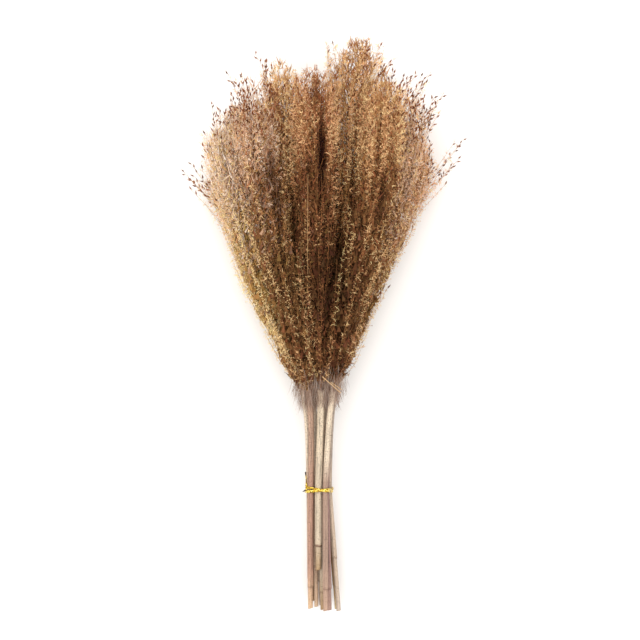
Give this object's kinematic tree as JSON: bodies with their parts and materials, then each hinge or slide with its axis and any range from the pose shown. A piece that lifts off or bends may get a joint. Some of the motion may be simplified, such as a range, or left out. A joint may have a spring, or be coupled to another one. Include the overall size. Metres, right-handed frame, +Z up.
{
  "type": "dried reed plume bunch",
  "caption": "Tied bunch of dried reed plumes: straw stems in their leaf sheaths, feathery brown heads that fan out, and a gold twist tie. It lies on its side.",
  "frame": {"origin": "on the surface that the bunch lies on, under the middle of its bounding box", "axes": "+Y from the cut ends to the plume tips, +X across the fan, +Z up from the surface"},
  "size_m": [0.217, 0.45, 0.1094],
  "materials": {
    "straw": "dry, matt, with a faint silky sheen along the fibres",
    "plume": "dry, matt, feathery",
    "gold_foil": "metallised, glossy, creased"
  },
  "bodies": {
    "root": {"culm_01": "straw", "culm_02": "straw", "culm_03": "straw", "culm_04": "straw", "culm_05": "straw", "culm_06": "straw", "culm_07": "straw", "culm_08": "straw", "culm_09": "straw", "culm_10": "straw", "culm_11": "straw", "culm_12": "straw", "culm_13": "straw", "culm_14": "straw", "plume_01": "plume", "plume_02": "plume", "plume_03": "plume", "plume_04": "plume", "plume_05": "plume", "plume_06": "plume", "plume_07": "plume", "plume_08": "plume", "plume_09": "plume", "plume_10": "plume", "plume_11": "plume", "plume_12": "plume", "plume_13": "plume", "plume_14": "plume", "twist_tie": "gold_foil"}
  },
  "joints": []
}
